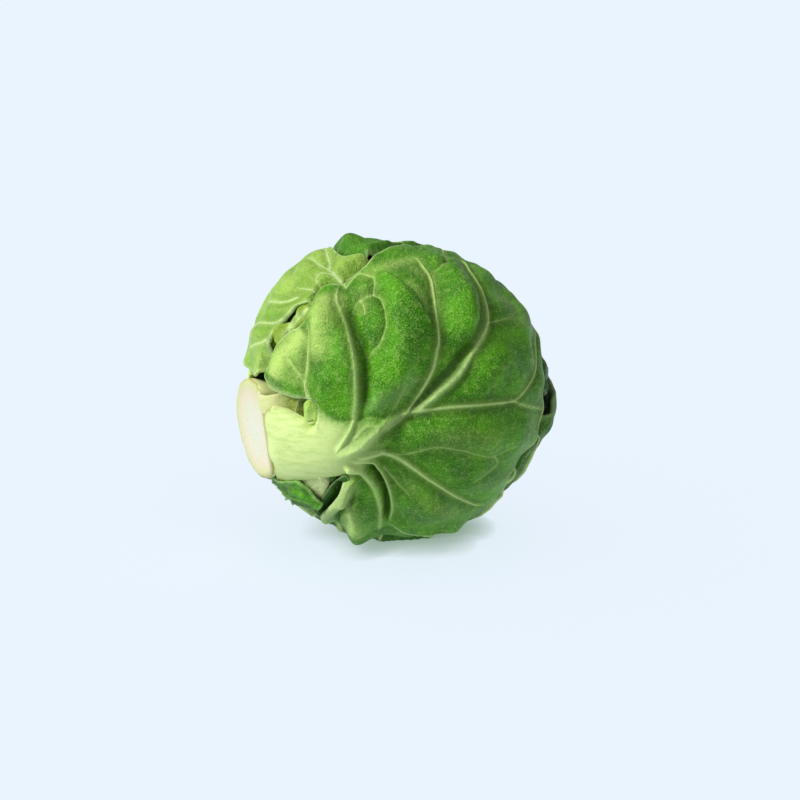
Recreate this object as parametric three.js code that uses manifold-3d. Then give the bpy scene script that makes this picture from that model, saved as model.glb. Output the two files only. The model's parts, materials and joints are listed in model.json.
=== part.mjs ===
// A Brussels sprout lying on its side: a cut stem, overlapping wrapper leaves and a tight heart.
// Millimetres, +Z up. The sprout rests on z = 0, and the origin is below the middle of its box.
// Every leaf is a flat pattern laid on a ball around the middle of the head, one level inside another.

import * as THREE from 'three';
import { mergeVertices } from 'three/addons/utils/BufferGeometryUtils.js';
import Module from 'manifold-3d';

const wasm = await Module();
wasm.setup();

// Driving dimensions
const headRadius = 19.5; // outside of the front leaf
const headHeight = 19; // middle of the head above the surface it rests on
const boxMiddle = [0.85, 0.36]; // the head's middle beside the origin, in x and y
const leafThickness = 0.7;
const leafGap = 0.35; // left between two leaves, and between a leaf and the stem
const leafPitch = leafThickness + leafGap;
const stemReach = 20.2; // from the middle of the head to the cut
const stemRadius = 6.5; // at the cut
const stemBevel = 0.3;
const stemInnerEnd = 3; // from the middle of the head, like the cut
const stemInnerRadius = 1;
const stemSeat = 3.6; // from the stem's axis to the flat that the front leaf's stalk sits on
const goldenAngle = 137.5;
const innerPairs = 5; // pairs of leaves in the heart, each inside the last
const innerThickness = 1.1; // a crinkled inner leaf fills more depth than a flat one

const degrees = Math.PI / 180;
const headMiddle = new THREE.Vector3(boxMiddle[0], boxMiddle[1], headHeight);

function direction(azimuth, elevation) {
  const level = Math.cos(elevation * degrees);
  return new THREE.Vector3(
    level * Math.cos(azimuth * degrees),
    level * Math.sin(azimuth * degrees),
    Math.sin(elevation * degrees),
  );
}

// The head's own axis runs from the cut stem to the apex, where the leaves close.
const apex = direction(18.7, 7.8);
const cutEnd = apex.clone().negate();
const frontFacing = direction(-90, 14);
const frontSide = frontFacing.clone().addScaledVector(apex, -frontFacing.dot(apex)).normalize();
const underSide = new THREE.Vector3().crossVectors(apex, frontSide);

// A direction given as an angle around the stem, from the front downwards, and an angle from the cut end.
function aroundStem(around, fromCut) {
  return cutEnd.clone().multiplyScalar(Math.cos(fromCut * degrees))
    .addScaledVector(frontSide, Math.sin(fromCut * degrees) * Math.cos(around * degrees))
    .addScaledVector(underSide, Math.sin(fromCut * degrees) * Math.sin(around * degrees));
}

// The frame of a pattern: out through its middle, up towards its tip, and right, seen from outside.
function patternFrame(facing, tip) {
  const out = facing.clone().normalize();
  const up = tip.clone().addScaledVector(out, -tip.dot(out)).normalize();
  return { out, up, right: new THREE.Vector3().crossVectors(up, out) };
}

// Lays the pattern point (a, b), in millimetres at the outside of the head, on a ball of this radius.
function wrap(frame, a, b, radius) {
  const reach = Math.hypot(a, b);
  const turn = reach / headRadius;
  const across = reach > 0 ? Math.sin(turn) / reach : 0;
  return frame.out.clone().multiplyScalar(Math.cos(turn))
    .addScaledVector(frame.right, across * a)
    .addScaledVector(frame.up, across * b)
    .multiplyScalar(radius)
    .add(headMiddle);
}

// A swell is [a, b, spread, height]: a round rise of the leaf around one pattern point.
function swelling(swells, a, b) {
  let height = 0;
  for (const [atA, atB, spread, rise] of swells) {
    height += rise * Math.exp(-((a - atA) ** 2 + (b - atB) ** 2) / (2 * spread ** 2));
  }
  return height;
}

// The outer face of a wrapper leaf at this level, counted inwards from the front leaf.
function faceOf(level) {
  return headRadius - level * leafPitch;
}

// A closed leaf: rings of points between the hub and the outline, on the outer and on the inner side.
// Its outer side lies on a ball of radius face, and it flattens where it meets the surface below.
function leafGeometry({ frame, outline, hub, face, rings, thickness = leafThickness, swells = [] }) {
  const positions = [];
  const triangles = [];
  const sectors = outline.length;
  const sidePoints = 1 + rings * sectors;
  for (const depth of [0, thickness]) {
    const place = (a, b) => {
      const radius = face + swelling(swells, a, b) - depth;
      const point = wrap(frame, a, b, radius);
      point.z = Math.max(point.z, depth);
      positions.push(point.x, point.y, point.z);
    };
    place(hub[0], hub[1]);
    for (let ring = 1; ring <= rings; ring++) {
      for (const [a, b] of outline) {
        const share = ring / rings;
        place(hub[0] + (a - hub[0]) * share, hub[1] + (b - hub[1]) * share);
      }
    }
  }
  const at = (side, ring, sector) =>
    side * sidePoints + (ring === 0 ? 0 : 1 + (ring - 1) * sectors + (sector % sectors));
  for (let sector = 0; sector < sectors; sector++) {
    for (let ring = 0; ring < rings; ring++) {
      for (const side of [0, 1]) {
        const [first, second] = side === 0 ? [sector + 1, sector] : [sector, sector + 1];
        triangles.push(at(side, ring, first), at(side, ring + 1, first), at(side, ring + 1, second));
        if (ring > 0) {
          triangles.push(at(side, ring, first), at(side, ring + 1, second), at(side, ring, second));
        }
      }
    }
    const next = sector + 1;
    triangles.push(at(0, rings, sector), at(0, rings, next), at(1, rings, next));
    triangles.push(at(0, rings, sector), at(1, rings, next), at(1, rings, sector));
  }
  return facetedGeometry(positions, triangles);
}

function facetedGeometry(positions, triangles) {
  const geometry = new THREE.BufferGeometry();
  geometry.setAttribute('position', new THREE.Float32BufferAttribute(positions, 3));
  geometry.setIndex(triangles);
  geometry.computeVertexNormals();
  return geometry;
}

// A rib is a tapered rod of elliptical section through its stations. Each station has its middle, the
// direction that faces out of the head there, and half its width and height.
function ribGeometry(stations, sides) {
  const positions = [];
  const triangles = [];
  stations.forEach(({ middle, out, halfWidth, halfHeight }, index) => {
    const before = stations[Math.max(index - 1, 0)].middle;
    const after = stations[Math.min(index + 1, stations.length - 1)].middle;
    const along = after.clone().sub(before).normalize();
    const side = new THREE.Vector3().crossVectors(along, out).normalize();
    const rise = new THREE.Vector3().crossVectors(side, along);
    for (let corner = 0; corner < sides; corner++) {
      const turn = (2 * Math.PI * corner) / sides;
      const point = middle.clone()
        .addScaledVector(side, halfWidth * Math.cos(turn))
        .addScaledVector(rise, halfHeight * Math.sin(turn));
      positions.push(point.x, point.y, point.z);
    }
  });
  const last = (stations.length - 1) * sides;
  for (let corner = 0; corner < sides; corner++) {
    const next = (corner + 1) % sides;
    for (let ring = 0; ring < last; ring += sides) {
      triangles.push(ring + corner, ring + sides + next, ring + next);
      triangles.push(ring + corner, ring + sides + corner, ring + sides + next);
    }
    if (corner > 0 && corner < sides - 1) {
      triangles.push(0, corner, corner + 1);
      triangles.push(last, last + corner + 1, last + corner);
    }
  }
  return facetedGeometry(positions, triangles);
}

function toSolid(geometry) {
  const bare = geometry.clone();
  bare.deleteAttribute('normal');
  bare.deleteAttribute('uv');
  const merged = mergeVertices(bare, 1e-4);
  return new wasm.Manifold(new wasm.Mesh({
    numProp: 3,
    vertProperties: new Float32Array(merged.attributes.position.array),
    triVerts: new Uint32Array(merged.index.array),
  }));
}

function toGeometry(solid) {
  const mesh = solid.getMesh();
  return facetedGeometry(Array.from(mesh.vertProperties), Array.from(mesh.triVerts));
}

const sprout = new THREE.Group();

function addPiece(name, geometry, color, roughness) {
  const material = new THREE.MeshStandardMaterial({ color, roughness, metalness: 0 });
  const mesh = new THREE.Mesh(geometry, material);
  mesh.name = name;
  sprout.add(mesh);
}

// A box that covers everything beyond a plane square to the given direction, from the head's middle.
function beyond(facing, distance) {
  const size = 4 * headRadius;
  const box = new THREE.BoxGeometry(size, size, size);
  box.translate(0, 0, distance + size / 2);
  box.applyQuaternion(new THREE.Quaternion().setFromUnitVectors(new THREE.Vector3(0, 0, 1), facing));
  box.translate(headMiddle.x, headMiddle.y, headMiddle.z);
  return toSolid(box);
}

// The stem: a cone that narrows into the head, cut square at its thick end, with a flat at the front
// where the front leaf's stalk joins it.
const stalkSide = aroundStem(24, 90);

function stemRadiusAt(reach) {
  const share = (reach - stemInnerEnd) / (stemReach - stemInnerEnd);
  return stemInnerRadius + share * (stemRadius - stemInnerRadius);
}

function addStem() {
  const profile = [
    new THREE.Vector2(0, stemInnerEnd),
    new THREE.Vector2(stemInnerRadius, stemInnerEnd),
    new THREE.Vector2(stemRadius, stemReach - stemBevel),
    new THREE.Vector2(stemRadius - stemBevel, stemReach),
    new THREE.Vector2(0, stemReach),
  ];
  const cone = new THREE.LatheGeometry(profile, 28);
  cone.applyQuaternion(new THREE.Quaternion().setFromUnitVectors(new THREE.Vector3(0, 1, 0), cutEnd));
  cone.translate(headMiddle.x, headMiddle.y, headMiddle.z);
  addPiece('stem', toGeometry(toSolid(cone).subtract(beyond(stalkSide, stemSeat))), 0xe2e7c8, 0.65);
}

// The front leaf: a blade pattern with its thick stalk, midrib and main veins standing out of it.
const front = patternFrame(frontFacing, new THREE.Vector3(0, 0, 1));

const frontSwells = [
  [-10, 8, 3.5, 0.7], // left lobe
  [-0.5, 8, 5, 1.1], // middle panel
  [8.5, 14, 4, 0.6], // panel beside the midrib
  [17, 5, 6, 0.5], // right panel
  [9, -13, 5, 0.4], // lower panel
  [-7, -26, 3, 1.6], // pleat that the head rests on
];

const frontOutline = [
  [-9.5, -8], [-11, -4], [-11.5, -2], [-13.5, -1.3], [-16.5, -0.6], [-19.5, 0.5], [-22.5, 2],
  [-21, 4], [-18.5, 7], [-16, 8.5], [-13, 10.5], [-12.5, 13.5], [-10.5, 16], [-8, 16.5], [-6, 18],
  [-4.5, 20.5], [-3, 23], [0, 27.5], [5, 31], [12, 32.5], [19, 30], [25, 26], [29, 21], [31, 15],
  [30, 10], [27.5, 5], [26.5, -2.5], [25, -6.5], [20, -12], [18, -16.5], [14.5, -21.5], [12.5, -25],
  [8.5, -27.5], [4, -29.5], [-1, -30], [-4, -29], [-6.5, -29.5], [-9.5, -28.5], [-12, -27.5],
  [-15, -26], [-13, -22.5], [-10.5, -18], [-8.5, -14.5], [-7.5, -11.5],
];

// Each rib of the front leaf is a list of [a, b, half width, half height, lift of its middle].
const frontRibs = {
  midrib: [
    [-18.5, -7, 5, 1.5, 0.2], [-16, -7.8, 4.6, 1.5, 0.1], [-13, -8.2, 4, 1.4, 0],
    [-9.5, -8.2, 3.2, 1.3, -0.2], [-6, -7.6, 2.3, 1.1, -0.3], [-2, -6, 1.5, 0.9, -0.2],
    [3.5, -2.5, 1.1, 0.8, -0.1], [7, 1, 1, 0.7, 0], [10, 5, 0.8, 0.6, 0], [12.5, 9.5, 0.7, 0.5, 0.2],
    [13, 14, 0.6, 0.5, 0.2], [12.5, 19, 0.5, 0.5, 0], [12.5, 26, 0.4, 0.4, 0],
  ],
  leftVein: [
    [-7, -7, 0.9, 0.8, 0], [-6, -4.5, 0.8, 0.7, 0], [-5.5, 0, 0.7, 0.6, 0.2],
    [-6.5, 6.5, 0.6, 0.5, 0.6], [-8.5, 12, 0.5, 0.5, 0.6], [-8.5, 15.5, 0.4, 0.4, 0.2],
  ],
  upperVein: [
    [1, -3.5, 0.8, 0.7, 0], [3.5, 0, 0.7, 0.6, 0.1], [5, 4.5, 0.6, 0.6, 0.6], [5, 10.5, 0.5, 0.5, 0.6],
    [4.5, 17, 0.5, 0.5, 0.3], [2.5, 21.5, 0.4, 0.4, 0], [0, 26, 0.4, 0.4, 0],
  ],
  rightVein: [
    [2.5, -3, 0.8, 0.7, 0], [9, -2, 0.6, 0.6, 0.1], [16, -1.5, 0.5, 0.5, 0.3],
    [21.5, 2, 0.4, 0.4, 0.3], [23.5, 6.5, 0.4, 0.4, 0.1], [25.5, 11, 0.4, 0.4, 0],
  ],
  lowerVein: [
    [-5, -8.2, 0.9, 0.8, 0], [-1.5, -8.5, 0.8, 0.7, 0], [3.5, -12, 0.7, 0.6, 0.1],
    [9, -16.5, 0.6, 0.5, 0.1], [13, -19.2, 0.4, 0.4, 0],
  ],
};

function ribStations(rib) {
  return rib.map(([a, b, halfWidth, halfHeight, lift]) => {
    const middle = wrap(front, a, b, headRadius + lift);
    return { middle, out: middle.clone().sub(headMiddle).normalize(), halfWidth, halfHeight };
  });
}

function addFrontLeaf() {
  const pastTheCut = 5;
  const blade = {
    frame: front, outline: frontOutline, hub: [2, 1], face: faceOf(0), rings: 7, swells: frontSwells,
  };
  let leaf = toSolid(leafGeometry(blade));
  for (const [name, rib] of Object.entries(frontRibs)) {
    const stations = ribStations(rib);
    if (name === 'midrib') {
      const foot = stations[0];
      stations.unshift({
        ...foot, out: stalkSide, middle: foot.middle.clone().addScaledVector(cutEnd, pastTheCut),
      });
    }
    leaf = leaf.add(toSolid(ribGeometry(stations, name === 'midrib' ? 12 : 6)));
  }
  addPiece('front_leaf', toGeometry(leaf.subtract(beyond(cutEnd, stemReach))), 0x47801a, 0.5);
}

// A spoon-shaped pattern: a neck at the stem, its full width past the middle, and a rounded tip.
function spoonOutline({ base, tip, halfWidth, neck, steps }) {
  const leftEdge = [];
  for (let step = 0; step < steps; step++) {
    const share = (1 - Math.cos((Math.PI * step) / steps)) / 2;
    const body = halfWidth * Math.sin(Math.PI * share ** 0.85) ** 0.8;
    leftEdge.push([-(neck * (1 - share) ** 3 + body), -base + (base + tip) * share]);
  }
  const rightEdge = leftEdge.map(([a, b]) => [-a, b]).reverse();
  return [...leftEdge, [0, tip], ...rightEdge];
}

// A leaf's base stops this many degrees from the stem's axis, just clear of the stem.
const clearOfStem = 19.6;

function addSpoonLeaf(name, leaf) {
  const { around, fromCut, tipFromCut, halfWidth, neck, color, steps = 12 } = leaf;
  const perDegree = headRadius * degrees;
  const base = (fromCut - clearOfStem) * perDegree;
  const tip = (tipFromCut - fromCut) * perDegree;
  const frame = patternFrame(aroundStem(around, fromCut), apex);
  const outline = spoonOutline({ base, tip, halfWidth, neck, steps });
  const middle = [0, (tip - base) / 2];
  addPiece(name, leafGeometry({ hub: middle, rings: 5, ...leaf, frame, outline }), color, 0.5);
}

// The leaf at the upper left, whose free edge hangs beside the cut end.
function addUpperLeftLeaf() {
  const frame = patternFrame(aroundStem(262, 58), apex);
  const outline = [
    [8, 5.5], [10, 2.5], [11.5, -1], [10.5, -4], [8.5, -6.5], [6, -8.5], [6, -11], [5, -12.8],
    [2, -12.6], [-0.5, -12.2], [-3, -11.6], [-6, -9.8], [-9.5, -6.5], [-11.5, -1.5], [-10.5, 4.5],
    [-7.5, 5.5], [-4, 6], [0, 6.3], [4.5, 6.3],
  ];
  const swells = [[2, -11, 4.5, 1.9], [3, -3, 5, 1.1], [3, 4, 5, 1]];
  const leaf = { frame, outline, hub: [0, -1], face: faceOf(1), rings: 3, swells };
  addPiece('upper_left_leaf', leafGeometry(leaf), 0xa3cc52, 0.5);
}

// What is left of a leaf that tore off below the front leaf's stalk.
function addTornLeaf() {
  const outline = [
    [-24.5, -15.8], [-21, -16], [-18, -14.9], [-14.5, -14], [-12.3, -16.3], [-13.5, -18], [-16.5, -18.8],
    [-20.5, -20], [-23, -19],
  ];
  const swells = [[-18, -17, 6, 0.9]];
  const leaf = { frame: front, outline, hub: [-18, -17], face: faceOf(0), rings: 2, swells };
  addPiece('torn_leaf', leafGeometry(leaf), 0x5a9414, 0.5);
}

const outerLeaves = {
  under_leaf: {
    around: 100, fromCut: 85, tipFromCut: 170, halfWidth: 23, neck: 3.4, face: faceOf(1), color: 0x4a7a2c,
    swells: [[5, -2, 4.2, 1.8], [-3.5, 22, 4.5, 1.9]], hub: [3.5, -1.5], rings: 8,
  },
  crown_leaf: {
    around: 230, fromCut: 88, tipFromCut: 152, halfWidth: 20.5, neck: 2.6, face: faceOf(2), color: 0x4c7e1e,
    swells: [[13, 0.5, 2.6, 3.4], [-11, 4, 5.5, 2.2]], steps: 14, rings: 8,
  },
  side_leaf: {
    around: 338, fromCut: 80, tipFromCut: 160, halfWidth: 14, neck: 2.6, face: faceOf(2), color: 0xaccf33,
    swells: [[-12, -9, 3, 0.4]],
  },
  back_leaf: {
    around: 178, fromCut: 95, tipFromCut: 215, halfWidth: 24, neck: 3, face: faceOf(3), color: 0x4a693e,
    swells: [[0, -2, 6, 0.5]],
  },
};

// The heart's leaves stand in facing pairs, and each pair is turned from the last by the golden angle.
const heartFace = faceOf(4);
const innerPitch = innerThickness + leafGap;

function addInnerLeaves() {
  const outerColor = new THREE.Color(0x8fbc3c);
  const paleColor = new THREE.Color(0xdce88c);
  for (let pair = 0; pair < innerPairs; pair++) {
    for (const half of [0, 1]) {
      addSpoonLeaf(`inner_leaf_${2 * pair + half + 1}`, {
        around: 60 + goldenAngle * pair + 180 * half,
        fromCut: 90,
        tipFromCut: 162,
        halfWidth: 22,
        neck: 3,
        face: heartFace - pair * innerPitch,
        thickness: innerThickness,
        steps: 10,
        rings: 4,
        color: outerColor.clone().lerp(paleColor, pair / innerPairs),
      });
    }
  }
}

// The bud in the middle of the heart sits over the stem's inner end.
function addHeartBud() {
  const budRadius = heartFace - innerPairs * innerPitch;
  const bud = new THREE.SphereGeometry(budRadius, 20, 12);
  const from = stemInnerEnd - leafGap;
  const to = budRadius + leafGap;
  const hollow = new THREE.CylinderGeometry(
    stemRadiusAt(to) + leafGap, stemRadiusAt(from) + leafGap, to - from, 16,
  );
  hollow.translate(0, (from + to) / 2, 0);
  hollow.applyQuaternion(new THREE.Quaternion().setFromUnitVectors(new THREE.Vector3(0, 1, 0), cutEnd));
  const solid = toSolid(bud).subtract(toSolid(hollow)).translate(headMiddle.toArray());
  addPiece('heart_bud', toGeometry(solid), 0xe9edb0, 0.6);
}

addStem();
addFrontLeaf();
addUpperLeftLeaf();
addTornLeaf();
for (const [name, leaf] of Object.entries(outerLeaves)) {
  addSpoonLeaf(name, leaf);
}
addInnerLeaves();
addHeartBud();

export default sprout;
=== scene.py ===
# A Brussels sprout lying on its side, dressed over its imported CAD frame.
# The file follows the sprout from the outside in: the surface and light it lies in, the big front leaf,
# the cut stem, the other wrapper leaves, and the heart.

import json
import math

import bpy
import numpy as np
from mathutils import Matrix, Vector
from mathutils.geometry import delaunay_2d_cdt

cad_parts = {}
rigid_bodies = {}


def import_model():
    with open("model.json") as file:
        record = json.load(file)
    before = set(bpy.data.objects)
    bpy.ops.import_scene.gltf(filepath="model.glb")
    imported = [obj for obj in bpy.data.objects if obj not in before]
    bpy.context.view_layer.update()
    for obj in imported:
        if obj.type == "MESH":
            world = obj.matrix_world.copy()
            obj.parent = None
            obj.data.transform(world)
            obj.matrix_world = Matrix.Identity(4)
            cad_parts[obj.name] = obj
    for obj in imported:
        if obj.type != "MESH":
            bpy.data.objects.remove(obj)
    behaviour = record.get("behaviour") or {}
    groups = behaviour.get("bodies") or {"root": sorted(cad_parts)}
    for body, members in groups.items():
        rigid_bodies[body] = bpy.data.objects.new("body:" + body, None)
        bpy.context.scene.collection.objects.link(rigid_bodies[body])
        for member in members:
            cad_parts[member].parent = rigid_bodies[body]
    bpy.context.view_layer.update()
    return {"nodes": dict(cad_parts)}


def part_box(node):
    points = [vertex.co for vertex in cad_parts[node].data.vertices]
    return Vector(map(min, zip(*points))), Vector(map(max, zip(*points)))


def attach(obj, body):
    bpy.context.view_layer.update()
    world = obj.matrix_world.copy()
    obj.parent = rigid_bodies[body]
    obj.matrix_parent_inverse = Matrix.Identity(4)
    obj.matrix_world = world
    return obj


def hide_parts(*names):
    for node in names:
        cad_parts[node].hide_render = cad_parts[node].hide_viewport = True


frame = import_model()

# ---------------------------------------------------------------------------------------------------
# The surface, the light and the camera.
# A sheet of matt pale paper in an even white room, with one large soft window up to the left.

MM = 0.001
bud_low, bud_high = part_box("heart_bud")
HEAD_MIDDLE = (bud_low + bud_high) / 2
VIEW_RISE = 14.0  # degrees that the camera looks down
VIEW_DISTANCE = 289 * MM
AIM_BELOW_MIDDLE = 1.3 * MM


def direction(azimuth, elevation):
    """A unit vector: azimuth in degrees from +X towards +Y, elevation in degrees above the ground."""
    level = math.cos(math.radians(elevation))
    return Vector((
        level * math.cos(math.radians(azimuth)),
        level * math.sin(math.radians(azimuth)),
        math.sin(math.radians(elevation)),
    ))


toward_camera = direction(-90, VIEW_RISE)
view_up = direction(90, 90 - VIEW_RISE)
camera_data = bpy.data.cameras.new("camera")
camera_data.lens = 100
camera_data.sensor_width = 36
camera = bpy.data.objects.new("camera", camera_data)
bpy.context.scene.collection.objects.link(camera)
camera.location = HEAD_MIDDLE - view_up * AIM_BELOW_MIDDLE + toward_camera * VIEW_DISTANCE
camera.rotation_euler = toward_camera.to_track_quat("Z", "Y").to_euler()
bpy.context.scene.camera = camera
bpy.context.scene.view_settings.view_transform = "Standard"


def linear(hex_color):
    """Turns an sRGB hex colour into the linear values that Blender mixes."""
    values = []
    for at in (0, 2, 4):
        share = int(hex_color[at:at + 2], 16) / 255
        values.append(share / 12.92 if share <= 0.04045 else ((share + 0.055) / 1.055) ** 2.4)
    return (*values, 1.0)


def node(tree, kind, inputs=None, **settings):
    """Adds a node with its settings. An input, by name or number, takes a value, a socket or a node."""
    made = tree.nodes.new("ShaderNode" + kind)
    for key, value in settings.items():
        setattr(made, key, value)
    for key, value in (inputs or {}).items():
        if isinstance(value, bpy.types.Node):
            value = value.outputs[0]
        if isinstance(value, bpy.types.NodeSocket):
            tree.links.new(value, made.inputs[key])
        else:
            made.inputs[key].default_value = value
    return made


def new_material(name):
    material = bpy.data.materials.new(name)
    material.use_nodes = True
    material.node_tree.nodes.clear()
    return material


def add_mesh(name, points, faces, material):
    mesh = bpy.data.meshes.new(name)
    mesh.from_pydata(points, [], faces)
    mesh.polygons.foreach_set("use_smooth", [True] * len(mesh.polygons))
    mesh.materials.append(material)
    mesh.update()
    made = bpy.data.objects.new(name, mesh)
    bpy.context.scene.collection.objects.link(made)
    return made


PAPER_COLOR = "eaf4ff"
# Colour of the painted contact shadow in the paper's glow.
SHADE_COLOR = "6f9070"  # where the sprout stands close over the paper
ROOM_LIGHT = 0.42
WINDOW_LIGHT = 3.5
WINDOW_SPREAD = 20.0  # degrees across, as seen from the sprout
PAPER_GLOW = 0.88  # share of the paper's brightness that shines through it from below
CONTACT_REACH = 3.4 * MM  # how far the sprout's contact shade spreads
FLOOR_REACH = 4.0  # metres
window_direction = direction(-160, 42)

# The room looks like the paper but its light is neutral, as a white tent's is.
world = bpy.data.worlds.new("room")
world.use_nodes = True
bpy.context.scene.world = world
room = world.node_tree.nodes["Background"]
sight = node(world.node_tree, "LightPath")
room_color = node(world.node_tree, "Mix", {
    0: sight.outputs["Is Camera Ray"], 6: (ROOM_LIGHT, ROOM_LIGHT, ROOM_LIGHT, 1.0), 7: linear(PAPER_COLOR),
}, data_type="RGBA")
world.node_tree.links.new(room_color.outputs[2], room.inputs["Color"])

# The window lights only the sprout, so that the paper keeps one even shade up to the contact shadow.
window_data = bpy.data.lights.new("window", "SUN")
window_data.energy = WINDOW_LIGHT
window_data.angle = math.radians(WINDOW_SPREAD)
window = bpy.data.objects.new("window", window_data)
window.rotation_euler = window_direction.to_track_quat("Z", "Y").to_euler()
bpy.context.scene.collection.objects.link(window)
lit_by_window = bpy.data.collections.new("lit_by_window")
window.light_linking.receiver_collection = lit_by_window

# Matt translucent paper on a light table: it gives back the room's light, and most of its brightness is its
# own glow. The contact shadow is painted into that glow: where an occlusion test finds the sprout close over
# the paper, the glow takes the shade colour.
matt_paper = new_material("matt_paper")
paper_tree = matt_paper.node_tree
paper_base = [value * (1 - PAPER_GLOW) / ROOM_LIGHT for value in linear(PAPER_COLOR)[:3]]
paper = node(paper_tree, "BsdfDiffuse", {"Color": (*paper_base, 1.0)})
# The painted contact shadow's occlusion test leans towards the window, so the painted shade lies on the side
# away from it.
shaded_from = direction(-168, 48)  # the contact shade falls away from the window
shade_facing = node(paper_tree, "CombineXYZ", dict(enumerate(shaded_from)))
open_share = node(paper_tree, "AmbientOcclusion", {
    "Distance": CONTACT_REACH, "Normal": shade_facing,
}).outputs["AO"]
glow_color = node(paper_tree, "Mix", {
    0: open_share, 6: linear(SHADE_COLOR), 7: linear(PAPER_COLOR),
}, data_type="RGBA")
glow = node(paper_tree, "Emission", {"Color": glow_color.outputs[2], "Strength": PAPER_GLOW})
paper = node(paper_tree, "AddShader", {0: paper, 1: glow})
node(paper_tree, "OutputMaterial", {"Surface": paper})
corners = [(-FLOOR_REACH, -FLOOR_REACH), (FLOOR_REACH, -FLOOR_REACH)]
corners += [(FLOOR_REACH, FLOOR_REACH), (-FLOOR_REACH, FLOOR_REACH)]
floor = add_mesh("floor", [(x, y, 0) for x, y in corners], [(0, 1, 2, 3)], matt_paper)

# ---------------------------------------------------------------------------------------------------
# The front leaf.
# The outermost wrapper leaf: a thick pale stalk cut off with the stem, which fans into raised veins
# with the blade swelling between them. It grew around the head, and only its stalk holds it.

HEAD_RADIUS = 19.5  # millimetres, to the outside of the front leaf
STEM_REACH = 20.0  # millimetres from the middle of the head to the cut
apex = direction(18.7, 7.8)
cut_end = -apex
front_side = (toward_camera - apex * toward_camera.dot(apex)).normalized()
under_side = apex.cross(front_side)


def around_stem(around, from_cut):
    """A direction by its angle around the stem, from the front downwards, and from the cut end."""
    turn, lean = math.radians(around), math.radians(from_cut)
    side = front_side * math.cos(turn) + under_side * math.sin(turn)
    return cut_end * math.cos(lean) + side * math.sin(lean)


def pattern_frame(facing, tip):
    """A leaf pattern's frame as three rows: right, up towards the tip, and out of the head."""
    out = facing.normalized()
    up = (tip - out * tip.dot(out)).normalized()
    return np.array([up.cross(out), up, out])


def wrap(pattern, points, radius):
    """Lays pattern points, in millimetres, on a ball around the head's middle. Returns metres."""
    reach = np.maximum(np.hypot(points[:, 0], points[:, 1]), 1e-9)
    turn = reach / HEAD_RADIUS
    across = np.sin(turn) / reach
    flat = np.stack([across * points[:, 0], across * points[:, 1], np.cos(turn)], axis=1)
    return (flat @ pattern) * (radius * MM)[:, None] + np.array(HEAD_MIDDLE)


def curve(points, step=0.3, closed=False):
    """A smooth curve through the points, sampled about every step millimetres."""
    knots = np.array(points, float)
    if closed:
        knots = np.vstack([knots[-1], knots, knots[:2]])
    else:
        knots = np.vstack([2 * knots[0] - knots[1], knots, 2 * knots[-1] - knots[-2]])
    samples = []
    for before, start, end, after in zip(knots, knots[1:], knots[2:], knots[3:]):
        count = max(round(np.linalg.norm(end - start) / step), 1)
        t = np.arange(count)[:, None] / count
        samples.append(0.5 * (
            2 * start + (end - before) * t + (2 * before - 5 * start + 4 * end - after) * t ** 2
            + (3 * start - before - 3 * end + after) * t ** 3
        ))
    if not closed:
        samples.append(knots[-2][None, :])
    return np.vstack(samples)


def near(path, points, reach):
    """Distance to a path, its side (left is positive) and the share along it, for points in reach."""
    distance = np.full(len(points), 1e3)
    side = np.ones(len(points))
    along = np.zeros(len(points))
    close = np.all((points > path.min(0) - reach) & (points < path.max(0) + reach), axis=1)
    steps = np.diff(path, axis=0)
    lengths = np.maximum(np.linalg.norm(steps, axis=1), 1e-9)
    passed = np.concatenate([[0], np.cumsum(lengths)])
    rows = np.flatnonzero(close)
    most_pairs = 2_000_000  # measured at a time, to save memory
    for part in np.array_split(rows, max(len(rows) * len(steps) // most_pairs, 1)):
        offset = points[part][:, None, :] - path[:-1][None, :, :]
        share = np.clip((offset * steps).sum(2) / lengths ** 2, 0, 1)
        gap = np.linalg.norm(offset - share[:, :, None] * steps, axis=2)
        best = gap.argmin(axis=1)
        row = np.arange(len(part))
        cross = steps[best, 0] * offset[row, best, 1] - steps[best, 1] * offset[row, best, 0]
        distance[part] = gap[row, best]
        side[part] = np.where(cross >= 0, 1, -1)
        along[part] = (passed[best] + share[row, best] * lengths[best]) / passed[-1]
    return distance, side, along


def from_edge(outline, points, reach):
    """Distance to a closed outline, for points in reach."""
    return near(np.vstack([outline, outline[:1]]), points, reach)[0]


def bell(distance, width):
    """1 at no distance, falling to 0 over about two widths."""
    return np.exp(-(distance / width) ** 2)


def ease(value):
    """A smooth step from 0 at value 0 to 1 at value 1."""
    share = np.clip(value, 0, 1)
    return share * share * (3 - 2 * share)


def between_ends(along, ends):
    """1 along a path, easing to 0 at both of its ends."""
    return ease(along * ends) * ease((1 - along) * ends)


def taper(along, ends):
    """From the first value to the second, falling fastest at the start."""
    return ends[1] + (ends[0] - ends[1]) * (1 - along) ** 2


def ripples(points, seed, wavelength, height):
    """Soft random unevenness: sine waves of about one wavelength in random directions."""
    random = np.random.default_rng(seed)
    total = np.zeros(len(points))
    waves = 16
    for _ in range(waves):
        heading = random.uniform(0, 2 * math.pi)
        length = wavelength * random.uniform(0.6, 1.6)
        phase = random.uniform(0, 2 * math.pi)
        along = points @ [math.cos(heading), math.sin(heading)]
        total += np.sin(along * 2 * math.pi / length + phase)
    return total * height / math.sqrt(waves / 2)


# Of these marks, one paints shade into creases, hollows and beside the veins, one paints light where a side
# faces the window, and one paints the sheen of the waxy bloom.
MARKS = ("rib", "halo", "pale", "edge", "painted_shade", "bloom_sheen", "light", "dried")


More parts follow.
